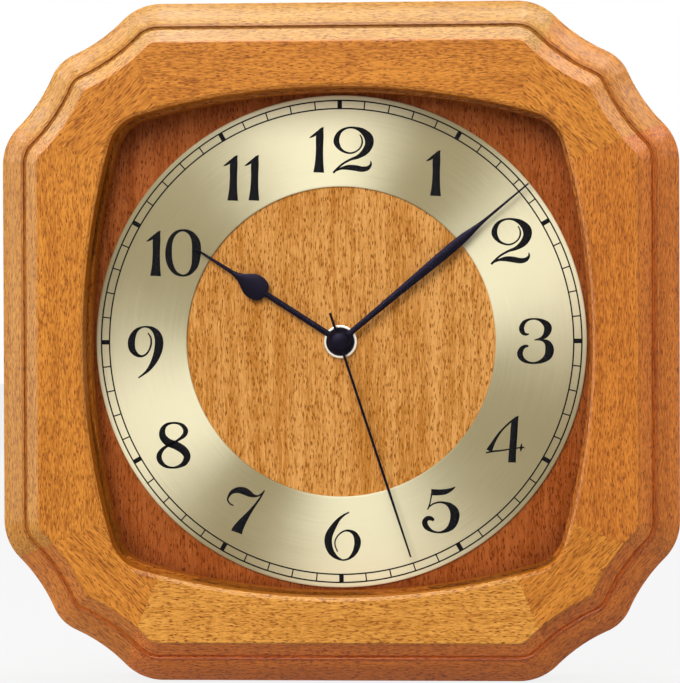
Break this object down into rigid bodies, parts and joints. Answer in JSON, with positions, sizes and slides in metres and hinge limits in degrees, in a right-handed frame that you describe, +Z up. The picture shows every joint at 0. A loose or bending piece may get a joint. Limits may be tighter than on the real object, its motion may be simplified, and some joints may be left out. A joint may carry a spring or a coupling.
{
  "type": "radio-controlled wall clock",
  "caption": "Square wall clock with a scalloped beech frame, a brushed metal chapter ring on a wood dial, pear-shaped hands and a radio-controlled quartz movement behind the dial.",
  "frame": {"origin": "the seat of the wall hook in the hanger's keyhole, on the wall plane", "axes": "+Z up, +Y into the wall, the dial faces -Y, +X to the right of someone reading the dial"},
  "size_m": [0.3, 0.0502, 0.2999],
  "materials": {
    "beech": "clear satin lacquer",
    "veneer": "clear satin lacquer",
    "glass": "clear",
    "champagne_metal": "circular brushed",
    "blued_metal": "satin lacquer",
    "nickel": "polished",
    "brass": "turned",
    "steel": "zinc plated",
    "copper_wire": "enamelled wire",
    "rubber": "matt",
    "black_plastic": "moulded",
    "white_plastic": "moulded",
    "circuit": "solder mask",
    "ferrite": "sintered",
    "cell_jacket": "printed jacket"
  },
  "bodies": {
    "case": {"frame_rail_top": "beech", "frame_rail_right": "beech", "frame_rail_bottom": "beech", "frame_rail_left": "beech", "frame_corner_top_right": "beech", "frame_corner_bottom_right": "beech", "frame_corner_bottom_left": "beech", "frame_corner_top_left": "beech", "glass_pane": "glass", "spacer_strip_top": "beech", "spacer_strip_right": "beech", "spacer_strip_bottom": "beech", "spacer_strip_left": "beech", "dial_board": "veneer", "board_screw_top": "steel", "board_screw_right": "steel", "board_screw_bottom": "steel", "board_screw_left": "steel", "chapter_ring": "champagne_metal", "fixing_nut": "nickel", "front_washer": "brass", "rubber_washer": "rubber", "threaded_bushing": "brass", "movement_housing": "black_plastic", "movement_back_cover": "black_plastic", "train_plate": "white_plastic", "minutes_stator": "steel", "seconds_stator": "steel", "minutes_coil": "copper_wire", "seconds_coil": "copper_wire", "circuit_board": "circuit", "quartz_crystal": "nickel", "controller_chip": "black_plastic", "ferrite_rod": "ferrite", "aerial_coil": "copper_wire", "contact_positive": "nickel", "contact_negative": "nickel", "hanger_plate": "steel", "hanger_screw_left": "steel", "hanger_screw_right": "steel"},
    "seconds": {"second_hand": "blued_metal", "seconds_wheel": "white_plastic"},
    "seconds_intermediate": {"seconds_intermediate_wheel": "white_plastic"},
    "seconds_motor": {"seconds_rotor": "ferrite"},
    "minutes": {"minute_hand": "blued_metal", "centre_wheel": "white_plastic"},
    "minutes_intermediate": {"minutes_intermediate_wheel": "white_plastic"},
    "minutes_motor": {"minutes_rotor": "ferrite"},
    "motion_work": {"motion_wheel": "white_plastic"},
    "hours": {"hour_hand": "blued_metal", "hour_wheel": "white_plastic"},
    "power_cell": {"cell": "cell_jacket"},
    "set_key": {"set_button": "white_plastic"},
    "receive_key": {"receive_button": "white_plastic"},
    "reset_key": {"reset_button": "white_plastic"}
  },
  "joints": [
    {"name": "seconds_turn", "type": "hinge", "parent": "case", "child": "seconds", "pos_m": [0, -0.02, -0.13715], "axis": [0, 1, 0], "continuous": true},
    {"name": "seconds_intermediate_turn", "type": "hinge", "parent": "case", "child": "seconds_intermediate", "pos_m": [0.00525, -0.009, -0.12806], "axis": [0, 1, 0], "continuous": true},
    {"name": "seconds_rotor_turn", "type": "hinge", "parent": "case", "child": "seconds_motor", "pos_m": [0.00975, -0.009, -0.12026], "axis": [0, 1, 0], "continuous": true},
    {"name": "minute_turn", "type": "hinge", "parent": "case", "child": "minutes", "pos_m": [0, -0.02, -0.13715], "axis": [0, 1, 0], "continuous": true},
    {"name": "minutes_intermediate_turn", "type": "hinge", "parent": "case", "child": "minutes_intermediate", "pos_m": [-0.00525, -0.014, -0.12806], "axis": [0, 1, 0], "continuous": true},
    {"name": "minutes_rotor_turn", "type": "hinge", "parent": "case", "child": "minutes_motor", "pos_m": [-0.00975, -0.014, -0.12026], "axis": [0, 1, 0], "continuous": true},
    {"name": "motion_work_turn", "type": "hinge", "parent": "case", "child": "motion_work", "pos_m": [0.00866, -0.016, -0.14215], "axis": [0, 1, 0], "continuous": true},
    {"name": "hour_turn", "type": "hinge", "parent": "case", "child": "hours", "pos_m": [0, -0.02, -0.13715], "axis": [0, 1, 0], "continuous": true},
    {"name": "cell_slide", "type": "slide", "parent": "case", "child": "power_cell", "axis": [0, 1, 0], "range_m": [0, 0.03]},
    {"name": "set_press", "type": "slide", "parent": "case", "child": "set_key", "axis": [0, -1, 0], "range_m": [0, 0.0008], "stiffness_N_per_m": 300, "springref_m": -0.0005},
    {"name": "receive_press", "type": "slide", "parent": "case", "child": "receive_key", "axis": [0, -1, 0], "range_m": [0, 0.0008], "stiffness_N_per_m": 300, "springref_m": -0.0005},
    {"name": "reset_press", "type": "slide", "parent": "case", "child": "reset_key", "axis": [0, -1, 0], "range_m": [0, 0.0008], "stiffness_N_per_m": 300, "springref_m": -0.0005}
  ],
  "couplings": [
    {"joint": "seconds_intermediate_turn", "follows": "seconds_turn", "ratio": -6},
    {"joint": "seconds_rotor_turn", "follows": "seconds_turn", "ratio": 30},
    {"joint": "minutes_intermediate_turn", "follows": "minute_turn", "ratio": -6},
    {"joint": "minutes_rotor_turn", "follows": "minute_turn", "ratio": 30},
    {"joint": "motion_work_turn", "follows": "minute_turn", "ratio": -0.33333},
    {"joint": "hour_turn", "follows": "minute_turn", "ratio": 0.083333}
  ]
}
